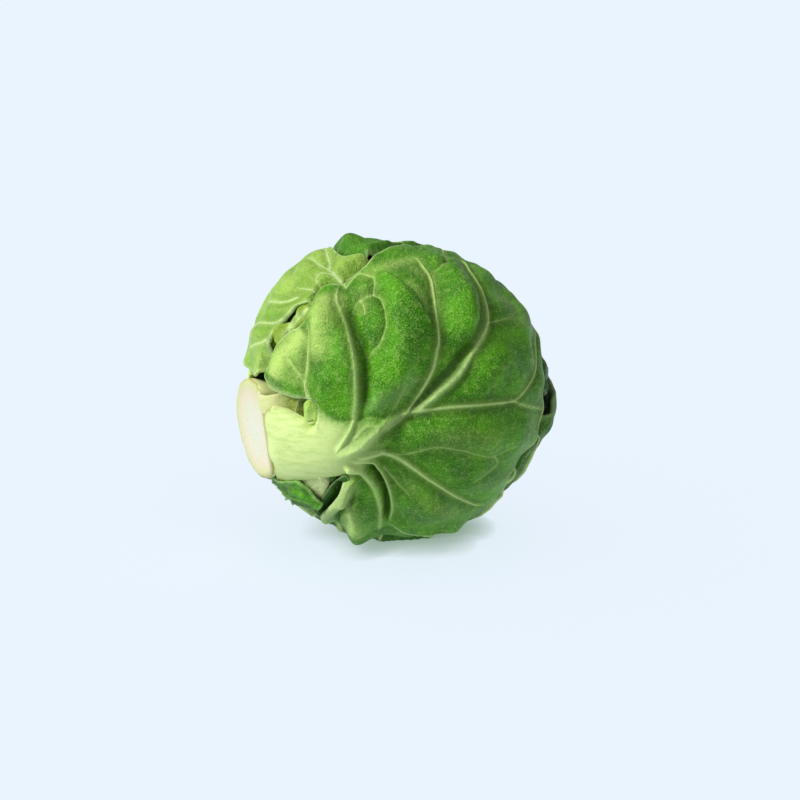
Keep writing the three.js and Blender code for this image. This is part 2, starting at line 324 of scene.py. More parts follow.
class Relief:
    """The shape and the marks of a leaf at its pattern points, built up form by form.

    Places are millimetres right and up on the pattern. Widths and heights are millimetres too.
    """

    def __init__(self, points, face, thickness):
        self.points = points
        self.face = face
        self.quilt = np.zeros(len(points))  # rise of the blade between its veins
        self.held = np.ones(len(points))  # 0 where a vein holds the blade down
        self.form = np.zeros(len(points))  # folds, ribs and steps, which no vein holds down
        self.depth = np.full(len(points), float(thickness))
        self.marks = {name: np.zeros(len(points)) for name in MARKS}

    def radius(self):
        return self.face + self.quilt * self.held + self.form

    def mark(self, name, amount):
        self.marks[name] = np.maximum(self.marks[name], amount)

    def puff(self, a, b, long, short, angle, height):
        """An oval swelling of the blade. Its long way lies at this angle from the pattern's right."""
        turn = math.radians(angle)
        from_a, from_b = self.points[:, 0] - a, self.points[:, 1] - b
        along = from_a * math.cos(turn) + from_b * math.sin(turn)
        across = from_b * math.cos(turn) - from_a * math.sin(turn)
        self.quilt += height * np.exp(-(along / long) ** 2 - (across / short) ** 2)

    def vein(self, path, width, height, hold=0.8, reach=1.1, tone=(1, 1)):
        """A raised vein, with painted shade along both its sides. Width, height and tone go from its start to
        its end.
        """
        distance, _, along = near(curve(path), self.points, 4 * reach)
        end = ease((1 - along) * 6)
        self.held *= 1 - hold * end * np.exp(-distance / reach)
        self.form += taper(along, height) * end * bell(distance, taper(along, width))
        shade = taper(along, tone) * end
        self.mark("rib", shade * bell(distance, 0.8 * taper(along, width)))
        self.mark("halo", shade * bell(distance, taper(along, width) + 0.4))
        self.mark("painted_shade", 0.42 * shade * bell(distance - taper(along, width) - 0.48, 0.42))

    def fold(self, path, width, height, ends=5, mark=None, strength=1.0):
        """A rise along a path, or a groove where the height is negative."""
        distance, _, along = near(curve(path), self.points, 3 * max(width))
        amount = between_ends(along, ends) * bell(distance, taper(along, width))
        self.form += height * amount
        if mark:
            self.mark(mark, strength * amount)

    def step(self, path, width, height, fall, ends=5, step_shade=0.0):
        """A step: the left of the path stands higher, and eases down over fall. Its last value paints shade
        along the step's line.
        """
        distance, side, along = near(curve(path), self.points, 3 * fall)
        rise = 0.5 * (1 + np.tanh(distance * side / width))
        amount = between_ends(along, ends)
        self.form += height * amount * rise * bell(distance, fall)
        self.mark("painted_shade", step_shade * amount * bell(distance, 0.16))

    def stain(self, name, path, width, strength=1.0, ends=5):
        """A mark along a path, with no change of shape."""
        distance, _, along = near(curve(path), self.points, 3 * max(width))
        self.mark(name, strength * between_ends(along, ends) * bell(distance, taper(along, width)))

    def rim(self, margin, width, strength):
        """The pale thin edge of the blade."""
        distance = from_edge(margin, self.points, 3)
        self.mark("edge", strength * bell(distance, width) * (1 - self.marks["pale"]))
        return distance


def inside(outline, points):
    """Which points lie inside an outline."""
    found = np.zeros(len(points), bool)
    for (a0, b0), (a1, b1) in zip(outline, np.roll(outline, -1, axis=0)):
        if b0 != b1:
            level = (b0 > points[:, 1]) != (b1 > points[:, 1])
            found ^= level & (points[:, 0] < a0 + (points[:, 1] - b0) * (a1 - a0) / (b1 - b0))
    return found


def even_points(outline, spacing):
    """Points in even triangles inside an outline, clear of its edge."""
    low, high = outline.min(0), outline.max(0)
    rows = np.arange(low[1], high[1], spacing * 0.866)
    columns = np.arange(low[0], high[0], spacing)
    a, b = np.meshgrid(columns, rows)
    a = a + (np.arange(len(rows)) % 2)[:, None] * spacing / 2
    grid = np.stack([a.ravel(), b.ravel()], axis=1)
    grid = grid[inside(outline, grid)]
    return grid[from_edge(outline, grid, 2) > spacing * 0.6]


def closer_points(grid, outline, paths):
    """Adds rows of points along the given paths, where the shape turns sharply, to an even grid."""
    offsets = (-0.42, -0.27, -0.13, 0.0, 0.13, 0.27, 0.42)
    clear = 0.16
    rows = []
    for path in paths:
        line = curve(path, 0.24)
        heading = np.gradient(line, axis=0)
        heading /= np.maximum(np.linalg.norm(heading, axis=1), 1e-9)[:, None]
        square = np.stack([-heading[:, 1], heading[:, 0]], axis=1)
        rows += [line + square * offset for offset in offsets]
        distance, _, _ = near(line, grid, 1)
        grid = grid[distance > offsets[-1] + clear]
    rows = np.vstack(rows)
    rows = rows[inside(outline, rows)]
    rows = rows[from_edge(outline, rows, 1) > clear]
    _, first = np.unique(np.round(rows / 0.1).astype(int), axis=0, return_index=True)
    return np.vstack([grid, rows[np.sort(first)]])


def triangles_over(outline, points):
    """Triangles between the outline's points and the points inside it, numbered in that order."""
    count = len(outline)
    border = [(i, (i + 1) % count) for i in range(count)]
    places = np.vstack([outline, points])
    result = delaunay_2d_cdt([Vector(p) for p in places], border, [], 1, 1e-5)
    first = np.array([ids[0] for ids in result[3]])
    found = first[np.array(result[2])]
    a, b, c = (places[found[:, i]] for i in range(3))
    turned = (b[:, 0] - a[:, 0]) * (c[:, 1] - a[:, 1]) < (b[:, 1] - a[:, 1]) * (c[:, 0] - a[:, 0])
    found[turned] = found[turned][:, ::-1]
    return found


def softly_cut(places, facing, reach):
    """Brings what lies beyond a plane back onto it, with a slightly rounded edge."""
    softness = 0.12 * MM
    beyond = (places - np.array(HEAD_MIDDLE)) @ np.array(facing) - reach * MM
    excess = softness * np.logaddexp(0, beyond / softness)
    return places - excess[:, None] * np.array(facing)


def keep_on_points(mesh, name, values):
    """Keeps a value for each of the mesh's points, which its material reads."""
    kind = "FLOAT_VECTOR" if values.ndim == 2 else "FLOAT"
    attribute = mesh.attributes.new(name, kind, "POINT")
    attribute.data.foreach_set("vector" if values.ndim == 2 else "value", values.ravel())


PAPER_CLEARANCE = 0.02  # millimetres
INNER_SPACING = 2.6  # times the outer side's
MARGIN_BULGE = 0.3  # of the leaf's thickness


def add_leaf(name, pattern, outline, shape, material, paths=(), spacing=0.34, cuts=()):
    """A closed leaf: a fine outer side, a coarser inner side, and a rounded margin between them."""
    outline = np.array(outline)
    ahead = np.roll(outline, -1, axis=0)
    if (outline[:, 0] * ahead[:, 1] - ahead[:, 0] * outline[:, 1]).sum() < 0:
        outline = outline[::-1]
    outer = even_points(outline, spacing)
    if paths:
        outer = closer_points(outer, outline, paths)
    inner = even_points(outline, spacing * INNER_SPACING)
    outer_triangles = triangles_over(outline, outer)
    inner_triangles = triangles_over(outline, inner)
    outer, inner = np.vstack([outline, outer]), np.vstack([outline, inner])
    rim = len(outline)
    outer_relief, inner_relief = shape(outer), shape(inner)
    outer_radius = outer_relief.radius()
    inner_radius = inner_relief.radius() - inner_relief.depth
    heading = np.roll(outline, -1, axis=0) - np.roll(outline, 1, axis=0)
    heading /= np.linalg.norm(heading, axis=1)[:, None]
    outward = np.stack([heading[:, 1], -heading[:, 0]], axis=1)
    middle = outline + outward * outer_relief.depth[:rim, None] * MARGIN_BULGE
    middle_radius = (outer_radius[:rim] + inner_radius[:rim]) / 2
    places = np.vstack([
        wrap(pattern, outer, outer_radius),
        wrap(pattern, inner, inner_radius),
        wrap(pattern, middle, middle_radius),
    ])
    for facing, reach in cuts:
        places = softly_cut(places, facing, reach)
    places[:, 2] = np.maximum(places[:, 2], PAPER_CLEARANCE * MM)
    inner_start, middle_start = len(outer), len(outer) + len(inner)
    faces = outer_triangles.tolist() + (inner_triangles[:, ::-1] + inner_start).tolist()
    for i in range(rim):
        j = (i + 1) % rim
        faces.append((j, i, middle_start + i, middle_start + j))
        faces.append((middle_start + j, middle_start + i, inner_start + i, inner_start + j))
    leaf = add_mesh(name, places.tolist(), faces, material)
    flat = np.vstack([outer, inner, middle])
    keep_on_points(leaf.data, "pattern", np.column_stack([flat, np.zeros(len(flat))]))
    for key in MARKS:
        outer_mark, inner_mark = outer_relief.marks[key], inner_relief.marks[key]
        keep_on_points(leaf.data, key, np.concatenate([outer_mark, inner_mark, outer_mark[:rim]]))
    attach(leaf, "root")
    return leaf


# A living waxy leaf: green flesh seen through a clear skin with a thin bluish bloom. The blade is mottled,
# netted with fine veins and crinkled between them, and its skin is finely pebbled.
MOTTLE = 5.0  # millimetres across a patch
NET_CELL = 2.4  # millimetres between the small veins
FINE_NET_CELL = 0.9
NET_WANDER = 1.11  # millimetres between the bends of a small vein
NET_BEND = 0.9  # how far it bends
CRINKLE = 0.8
GRAIN = 0.2  # millimetres, the pebbling of the skin
FIBRE = 0.7  # millimetres across the fibres of a stalk


def leaf_skin(name, light, mid, deep, vein="c2e08c", pale="c8dc86", bloom_sheen="93b584", edge="d0e0a4", net=0.1):
    material = new_material(name)
    tree = material.node_tree
    marks = {mark: node(tree, "Attribute", attribute_name=mark).outputs["Fac"] for mark in MARKS}
    pattern = node(tree, "Attribute", attribute_name="pattern").outputs["Vector"]
    drawn_out = node(tree, "VectorMath", {0: pattern, 1: (0.2, 1, 0)}, operation="MULTIPLY")
    noises = []
    for place, size, detail, roughness in (
            (pattern, MOTTLE, 5.0, 0.62), (pattern, CRINKLE, 3.0, 0.6), (pattern, GRAIN, 2.0, 0.7),
            (drawn_out, FIBRE, 4.0, 0.65)):
        noises.append(node(tree, "TexNoise", {
            "Vector": place, "Scale": 1 / size, "Detail": detail, "Roughness": roughness,
        }, noise_dimensions="2D"))
    mottle, crinkle, grain, fibre = noises

    warp = node(tree, "TexNoise", {"Vector": pattern, "Scale": 1 / NET_WANDER, "Detail": 2.0})
    bent = node(tree, "VectorMath", {
        0: warp.outputs["Color"], 1: (NET_BEND, NET_BEND, 0), 2: pattern,
    }, operation="MULTIPLY_ADD")
    wide_net, fine_net = (node(tree, "TexVoronoi", {
        "Vector": bent, "Scale": 1 / cell, "Randomness": 0.9,
    }, voronoi_dimensions="2D", feature="DISTANCE_TO_EDGE") for cell in (NET_CELL, FINE_NET_CELL))

    # Each reading, two of its values, and how much shows at each of the two.
    shown = {}
    for use, reading, low, high, at_low, at_high in (
            ("patches", mottle, 0.3, 0.7, 0, 1), ("fibres", fibre, 0.4, 0.72, 0, 1),
            ("bright creases", crinkle, 0.5, 0.72, 0, 1), ("deep creases", crinkle, 0.46, 0.28, 0, 1),
            ("deep grains", grain, 0.48, 0.28, 0, 1), ("bright grains", grain, 0.54, 0.72, 0, 1),
            ("wide net", wide_net, 0, 0.04, 1, 0), ("fine net", fine_net, 0, 0.07, 1, 0),
            ("on the blade", marks["pale"], 0, 0.8, 1, 0.12), ("roughness", grain, 0.3, 0.7, 0.34, 0.5)):
        shown[use] = node(tree, "MapRange", {
            "Value": reading, "From Min": low, "From Max": high, "To Min": at_low, "To Max": at_high,
        }, interpolation_type="SMOOTHSTEP")
    pale_fibres = node(tree, "Math", {0: shown["fibres"], 1: marks["pale"]}, operation="MULTIPLY")

    layers = [
        (shown["patches"], 0.85, mid),
        # Painted light, where a side of the blade faces the window.
        (marks["light"], 0.9, light),
        (shown["bright creases"], 0.16, light),
        (shown["deep creases"], 0.25, deep),
        (shown["deep grains"], 0.4, deep),
        (shown["bright grains"], 0.3, light),
        (shown["fine net"], 0.5 * net, vein),
        (shown["wide net"], net, vein),
        (marks["halo"], 0.25, light),
        # Painted sheen of the waxy bloom, where it catches the light at a slant.
        (marks["bloom_sheen"], 0.6, bloom_sheen),
        (marks["pale"], 1.0, pale),
        (pale_fibres, 0.45, "a6c660"),
        (marks["rib"], 0.95, vein),
        (marks["edge"], 0.85, edge),
        # Painted shade in grooves, cracks and hollows and beside the veins.
        (marks["painted_shade"], 0.85, "183a04"),
        (marks["dried"], 0.8, "8f7a46"),
    ]
    color = linear(deep)
    for amount, strength, tint in layers:
        share = node(tree, "Math", {0: amount, 1: strength}, operation="MULTIPLY", use_clamp=True)
        color = node(tree, "Mix", {
            0: share, 6: color, 7: linear(tint),
        }, data_type="RGBA").outputs[2]

    facing = {}
    for height, strength, depth in (
            (grain, 0.7, 0.1), (crinkle, shown["on the blade"], 0.3), (shown["wide net"], 0.3, 0.12)):
        bump = node(tree, "Bump", {
            "Height": height, "Strength": strength, "Distance": depth * MM, **facing,
        })
        facing = {"Normal": bump}
    skin = node(tree, "BsdfPrincipled", {
        "Base Color": color, "Roughness": shown["roughness"], "IOR": 1.4,
        "Specular IOR Level": 0.2, **facing,
        "Subsurface Weight": 0.1, "Subsurface Radius": (0.6, 1.0, 0.25), "Subsurface Scale": 0.6 * MM,
    })
    node(tree, "OutputMaterial", {"Surface": skin})
    return material


front_pattern = pattern_frame(toward_camera, Vector((0, 0, 1)))

KNIFE_LEAN = 0.12  # towards the front, per millimetre across the cut
cut_facing = (cut_end + front_side * KNIFE_LEAN).normalized()

front_midrib = [
    (-7, -8.1), (-5.2, -7.3), (-3.6, -6), (-1.8, -4.6), (0.6, -3.2), (3, -2), (4.9, -0.4), (7.5, 1.8),
    (9.4, 4.6), (11.8, 8.1), (12.7, 10.9), (12.7, 14.9), (12.1, 18), (11.5, 21), (12, 27.5),
]
front_top_vein = [
    (-1.5, -5), (0.2, -3.8), (1.6, -2), (2.9, 0), (4.2, 2.7), (4.7, 4.9), (5, 6.5), (4.8, 10.3),
    (4.5, 15.8), (3.5, 18.7), (1.9, 22.4),
]
front_left_vein = [
    (-7.6, -7.4), (-6.6, -6), (-5.9, -4.7), (-5.6, -3.1), (-5.4, -0.6), (-5.7, 3.7), (-6.7, 7.6),
    (-7.8, 10.5), (-8.7, 12.5), (-8.9, 14.8), (-8.3, 16),
]
front_inner_vein = [(-5.5, -6), (-4, -4.5), (-2.5, -4.5), (-1.5, -3.5), (-0.5, -2), (0.5, 0), (1, 1)]
front_lobe_veins = [
    [(-10.5, -5), (-11.5, -3), (-12.5, -0.5), (-13.5, 1.5), (-15.5, 4), (-16.5, 5.5)],
    [(-12.5, -1.5), (-13, 0.5), (-12.5, 3.5), (-12.5, 7), (-13, 10)],
]
front_right_vein = [
    (0.6, -3.1), (3.6, -2.6), (6.8, -2.3), (10.2, -2.1), (14.9, -1.8), (16.8, -1.5), (18.9, -0.2),
    (21.1, 1.7), (22.4, 3.6), (23.5, 6.5), (24.5, 9.5), (27, 13.5),
]
front_right_fork = [(16, -1.5), (19.5, -2.5), (26, -3.5)]
front_small_veins = [
    [(-2.5, -8), (0, -8.5), (2.5, -8), (5, -7.5), (8, -8), (11, -9), (13.5, -9.5), (16, -8.5), (18, -8)],
    [(13.5, -9.5), (14.5, -11), (13, -12), (11, -13), (10, -13.5)],
    [(-2, -10.5), (0, -13), (1.5, -14.5)],
    [(12.3, 9.4), (15.1, 10.3), (17.2, 11.3), (19.1, 13)],
    [(8.2, 26.5), (7.5, 22.5), (7.1, 19.3), (6.7, 18)],
    [(7.1, 19.3), (5.3, 17.5), (4.3, 18.1)],
]
front_lower_vein = [
    (-5, -8.5), (-3, -8.5), (-1.5, -8.5), (0.5, -9.5), (3.5, -12), (6, -14), (9, -16.5), (12.5, -19),
    (15, -19.5),
]
front_bottom_vein = [
    (-5.5, -9), (-4.3, -9.3), (-3.1, -10.2), (-2, -12.1), (-1.3, -14.9), (-1.2, -17.7), (-1.9, -21.1),
]
front_pleat_vein = [
    (-6.5, -10.5), (-5.5, -10.9), (-4.2, -12), (-3.2, -13.9), (-2.9, -16.6), (-3, -19.8), (-3.6, -24),
]
front_pleat_groove = [
    (-5.6, -9.6), (-4.6, -9.9), (-3.6, -10.8), (-2.7, -12.3), (-2.1, -14.7), (-2, -17.5), (-2.4, -21),
]
front_thin_crease = [(-2.7, -10.4), (-1.2, -12.3), (0.4, -14), (1.6, -15.5)]
front_strip = [(-6.7, -11.2), (-6.9, -13.4), (-8.3, -15.8), (-10.7, -18.6), (-13, -22), (-13.4, -25.5)]
front_strip_groove = [(-6, -12), (-6.4, -14.5), (-7.6, -16.8), (-9.2, -19.1), (-10.5, -21.5), (-11.5, -27)]
front_hem = [(-2.8, -20.8), (-0.6, -21.8), (0.9, -23.1), (3.3, -23.9), (6.8, -24.1), (11.6, -23.6)]
front_midrib_groove = [
    (-5.5, -6.6), (-3.5, -6.4), (-1.2, -4.9), (1.2, -2.9), (3.4, -0.6), (5.8, 2), (8.2, 4.8), (10.1, 7.2),
    (11.1, 9.7), (11.3, 12.7), (10.8, 15.5), (10.6, 19),
]
front_left_groove = [
    (-7.2, 13.5), (-6.8, 11), (-6.1, 8.3), (-5.2, 6), (-4.5, 3), (-4.4, 0.5), (-4.5, -2), (-5.2, -4.5),
]
front_seam = [
    (-17.8, -2.5), (-19.1, -3.1), (-19.9, -4.1), (-20.1, -5.3), (-19.8, -7), (-19.9, -8.7), (-19.6, -9.9),
    (-18.9, -11), (-19.3, -12.5),
]
front_stalk_edge = [(-17.8, -2.3), (-16.3, -3.1), (-15, -3.6), (-13.5, -4.3)]
front_slit = [(-4, 17.4), (-1.5, 15), (1.5, 12.2), (3.3, 9.3), (4.4, 7), (4.7, 5.8)]
front_net = [
    [(-8.3, 15.6), (-7.8, 14.7), (-7.2, 16), (-5.9, 17.3), (-3.9, 15.9), (-3.4, 14.2), (-3.5, 12.7),
     (-2.4, 11.5), (-1.8, 9.1), (-1.8, 7.6), (-2.5, 5.7), (-3.9, 4.3), (-5, 3)],
    [(-3.5, 12.7), (-5.4, 12.1), (-6.6, 10.9), (-7, 10.4)],
    [(-5.4, 12.1), (-4.8, 11), (-4.6, 9.4)],
]
front_margin = curve([
    (-16.3, -3.4), (-15, -3.9), (-13.2, -4.7), (-12, -5.6), (-10.9, -5.2), (-10.7, -4), (-10.8, -3.3),
    (-11, -2.3), (-11.5, -1.7), (-12.3, -1.4), (-13.7, -1.1), (-15.3, -0.9), (-17, -0.5), (-18.8, 0.1),
    (-20.3, 1), (-21.9, 2.3), (-21, 4), (-19.5, 6), (-18.5, 7), (-16, 8.5), (-14.5, 9), (-13, 10.5),
    (-13, 12), (-12.5, 13.5), (-12, 15.5), (-10.5, 16), (-8.5, 15.5), (-7.5, 16.5), (-6, 18), (-5, 19),
    (-4.5, 20.5), (-4, 22), (-3, 23), (-1, 25.5), (1.5, 28.5), (5, 31), (12, 32.5), (19, 30), (25, 26),
    (29, 21), (31, 15), (30, 10), (27.5, 5), (26.5, -2.5), (26, -4), (25, -6.5), (22, -9), (20, -11.5),
    (18, -13.5), (18, -17.5), (16, -20.5), (14.5, -23.5), (14, -26.5), (11, -28.5), (6, -29.5),
    (1.5, -30), (-2, -29.5), (-4, -27.5), (-5, -29.2), (-6.5, -29.7), (-8, -29.2), (-9.5, -28),
    (-10.8, -26.3), (-12, -27.5), (-13.5, -27), (-15.2, -26), (-15.8, -25), (-13.3, -21.3),
    (-11.4, -18.8), (-9.5, -16.4), (-8.2, -14.4), (-7.6, -12.9), (-7.5, -11.8), (-9.3, -12.1),
    (-11.2, -12.6), (-14.3, -13.5), (-17, -14.4), (-20.2, -15.1), (-19.9, -13.9), *reversed(front_seam),
], 0.28, closed=True)


FRONT_SWELL = 0.9  # millimetres that the blade is set in, to leave room for its swells

# How the blade swells between its veins, as Relief.puff takes it.
front_swells = [
    (-16, 3.5, 4.5, 2.6, 50, 1.4),  # left lobe
    (-10.3, 9, 4.5, 2.3, 95, 1.9),  # left of the left vein
    (-9.3, 0.5, 3.6, 2.4, 95, 1.4),
    (-1, 10.5, 5.5, 3.8, 110, 2.1),  # middle dome
    (1.5, 4, 4.5, 3.4, 70, 1.6),
    (-2.2, -1.5, 3, 1.8, 40, 1.2),
    (8.8, 11.5, 6.5, 2.8, 105, 2.6),  # between the top vein and the midrib
    (7.5, 19.5, 3, 2.6, 90, 0.9),
    (18, 8, 8, 5, 65, 1.0),  # right panel
    (13, 2.5, 5, 2.4, 35, 0.8),
    (9, -6.5, 7, 2.6, -12, 1.5),
    (18, -6, 5, 3, 0, 0.7),
    (13, -13, 5, 3, -30, 0.6),
    (4, -17, 6, 3, -35, 1.5),
    (9, -25, 6, 3, 20, 0.4),
    (-6.6, -17, 5, 1.6, 98, 1.6),  # pleat that the head rests on
    (-7.2, -24.5, 5, 2.2, 90, 2.0),
]

# Its veins, as Relief.vein takes them.
front_veins = [
    (front_midrib, (0.75, 0.18), (1.0, 0.45), 1.0, 1.1, (0.6, 1)),
    (front_top_vein, (0.28, 0.16), (0.45, 0.4), 0.9, 0.9),
    (front_left_vein, (0.3, 0.16), (0.5, 0.4), 0.6, 0.7),
    (front_inner_vein, (0.3, 0.12), (0.2, 0.08), 0.5, 0.8, (0.6, 0.3)),
    (front_right_vein, (0.26, 0.15), (0.35, 0.35), 0.85, 1.2),
    (front_right_fork, (0.22, 0.14), (0.25, 0.15), 0.6, 0.9, (0.9, 0.6)),
    (front_lower_vein, (0.36, 0.16), (0.45, 0.35), 0.9, 1.1),
    (front_bottom_vein, (0.4, 0.25), (0.7, 0.5), 0.8, 0.8, (0.9, 0.6)),
    (front_pleat_vein, (0.55, 0.45), (1.1, 0.7), 0.7, 0.6, (0.7, 0.4)),
    *((path, (0.2, 0.11), (0.3, 0.15), 0.65, 0.8, (1.0, 0.5)) for path in front_lobe_veins),
    *((path, (0.15, 0.09), (0.16, 0.08), 0.4, 0.7, (0.5, 0.35)) for path in front_small_veins),
    *((path, (0.13, 0.11), (0.16, 0.12), 0.55, 0.6, (0.85, 0.45)) for path in front_net),
]

# Painted light where the blade faces the window, painted sheen where its bluish waxy bloom catches the light
# at a slant, and its thin pale rim on the right, brightened there with a painted highlight where it is
# edge-lit.
front_stains = {
    "light": [
        ([(-10.3, 14.5), (-10.2, 11), (-10.8, 7), (-11, 3)], (2.2, 2.0), 0.65),
        ([(-19, 1.5), (-18, 3.8), (-15.5, 6), (-13.2, 8.5)], (3.2, 2.4), 0.85, 9),
        ([(-14.5, 0), (-13.8, 3), (-13.8, 6)], (1.8, 1.6), 0.4),
        ([(-5, 14.5), (-5.2, 12), (-5, 9)], (1.4, 1.2), 0.2),
        ([(-7, 16), (-3.5, 17.5), (1, 20), (4, 21)], (1.6, 1.4), 0.35),
        ([(0.5, 15.5), (2.6, 12.5), (4, 9.5)], (1.0, 0.6), 0.3),
        ([(3, -7), (7, -6), (11, -6.5), (15, -6)], (1.6, 1.8), 0.12),
        ([(-0.5, -11), (3, -14.5), (7, -18), (11, -20)], (1.0, 1.0), 0.15),
        ([(-7.2, -15), (-7.4, -18.5), (-7.8, -24)], (0.9, 1.8), 0.65),
        ([(1, 19), (4, 16), (4.2, 12)], (1.8, 0.8), 0.25),
    ],
    "bloom_sheen": [
        ([(7.9, 17.3), (10, 15.4), (11.3, 13), (11.6, 10.5), (10.7, 7.5), (8.9, 5.2)], (0.8, 0.8), 0.6),
        ([(1.5, -3.6), (3.6, -1.1), (6.2, 1.9), (8.3, 5)], (0.9, 0.8), 0.5),
        ([(-5.5, -3.1), (-3.7, -2.2), (-1, -1), (1.2, 0.6), (3, 2.4)], (1.1, 0.9), 0.5),
        ([(14.5, 17), (17.5, 13), (20.5, 9)], (2.4, 2.0), 0.45),
        ([(24, 3), (24, -3), (20.5, -8), (16.5, -13), (12, -17)], (2.4, 2.4), 0.45),
    ],
    "edge": [([(25.5, 3), (26, -2), (24.7, -6), (20.2, -10.8)], (0.3, 0.2), 0.9)],
}


def front_shape(points):
    leaf = Relief(points, HEAD_RADIUS - FRONT_SWELL, 0.55)
    leaf.quilt += 0.4 + ripples(points, 3, 7.0, 0.14)
    for swell in front_swells:
        leaf.puff(*swell)
    for vein in front_veins:
        leaf.vein(*vein)
    # The slit's step and the grooves below are darkened with painted shade.
    leaf.step(front_slit[::-1], 0.06, 0.9, 2.0, step_shade=0.8)
    leaf.step(front_left_vein, 0.2, 0.6, 2.0)
    leaf.fold(front_left_groove, (0.6, 0.75), -1.1, mark="painted_shade", strength=0.75)
    leaf.fold(front_midrib_groove, (0.6, 0.6), -1.0, mark="painted_shade", strength=0.6)
    leaf.fold(front_strip, (0.9, 1.1), 1.1, ends=9, mark="pale", strength=0.45)
    leaf.fold(front_strip_groove, (0.3, 0.3), -0.8, mark="painted_shade", strength=0.6)
    leaf.fold(front_pleat_groove, (0.4, 0.45), -1.5, mark="painted_shade", strength=0.9)
    leaf.fold(front_thin_crease, (0.12, 0.12), -0.12, mark="painted_shade", strength=0.3)
    leaf.step(front_hem, 0.3, 0.6, 2.5)
    leaf.fold(front_hem, (0.22, 0.22), 0.3, mark="edge", strength=1.0)
    for name, stains in front_stains.items():
        for stain in stains:
            leaf.stain(name, *stain)
    add_stalk(leaf)
    leaf.rim(front_margin, 0.2, 0.75)
    leaf.stain("dried", front_seam, (0.28, 0.24), 0.9, ends=30)
    leaf.stain("dried", front_stalk_edge, (0.13, 0.12), 0.9, ends=30)
    return leaf


# The stalk: broad and nearly flat at the cut, thick at both edges, and narrow where it meets the blade.
STALK_LINE = [(-20, -7.8), (-17, -8), (-13, -8.2), (-9, -8.2), (-6, -7.4), (-3, -5.6), (0.5, -3.4)]
STALK_HALF_WIDTH = (7.2, 1.0)
STALK_RISE = (2.2, 1.15)  # over the blade's base, at the cut and where it meets the midrib
STALK_THICKNESS = 2.4


def add_stalk(leaf):
    distance, side, along = near(curve(STALK_LINE), leaf.points, 14)
    share = distance / (STALK_HALF_WIDTH[0] + (STALK_HALF_WIDTH[1] - STALK_HALF_WIDTH[0]) * along)
    level = np.clip(share, 0, 1.3)
    fall = np.where(side > 0, 0.8 * level ** 2.2, (0.7 + 0.5 * ease(along * 2.5)) * level ** 2.2)
    reach = ease((1.35 - share) * 3) * ease((1 - along) * 4)
    leaf.form += (STALK_RISE[0] + (STALK_RISE[1] - STALK_RISE[0]) * along - fall) * reach
    leaf.held *= 1 - reach
    leaf.depth += (STALK_THICKNESS - leaf.depth) * reach * ease((0.8 - along) * 3)
    leaf.mark("pale", ease((1.4 - share) * 1.6) * ease((0.92 - along) * 1.8))
    # The pale stalk takes no painted shade.
    leaf.marks["painted_shade"] *= 1 - leaf.marks["pale"]


front_skin = leaf_skin(
    "waxy_front_leaf", light="cbe67c", mid="539e02", deep="2e6e02", pale="cee092", bloom_sheen="93b874",
)
front_leaf = add_leaf(
    "front_leaf", front_pattern, front_margin, front_shape, front_skin,
    paths=[
        front_midrib, front_top_vein, front_left_vein, front_inner_vein, front_right_vein, front_lower_vein,
        front_bottom_vein, front_slit, front_stalk_edge, *front_net, *front_lobe_veins, *front_small_veins,
    ],
    spacing=0.29, cuts=[(cut_facing, STEM_REACH)],
)
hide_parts("front_leaf")

# ---------------------------------------------------------------------------------------------------
# The cut stem.
# Solid pale pith inside a thin green rind, sliced with a knife. The front leaf's stalk was cut with it and
# overlaps its front, and the seam between the two has dried brown.

STEM_RADIUS = 6.5
STEM_INNER_REACH = 9.0  # the hidden end, from the head's middle
STEM_INNER_RADIUS = 3.4
STEM_TURNS = 180
STEM_SEAM = 3.6  # from the stem's axis to the flat under the stalk
stem_shift = under_side * 0.9  # the stem leaves the head a little below its middle
seam_side = around_stem(13, 90)
seam_across = cut_end.cross(seam_side)


def stem_section(turns, radius, wobble):
    """How far the stem's side is from its axis: a circle with a flat at the seam and a soft corner."""
    flat = STEM_SEAM / np.maximum(np.cos(turns), 0.05)
    softness = 0.35
    bump = wobble * (np.sin(3 * turns + 1) + 0.6 * np.sin(5 * turns) + 0.35 * np.sin(11 * turns + 2))
    return -softness * np.logaddexp(-(radius + bump) / softness, -flat / softness)


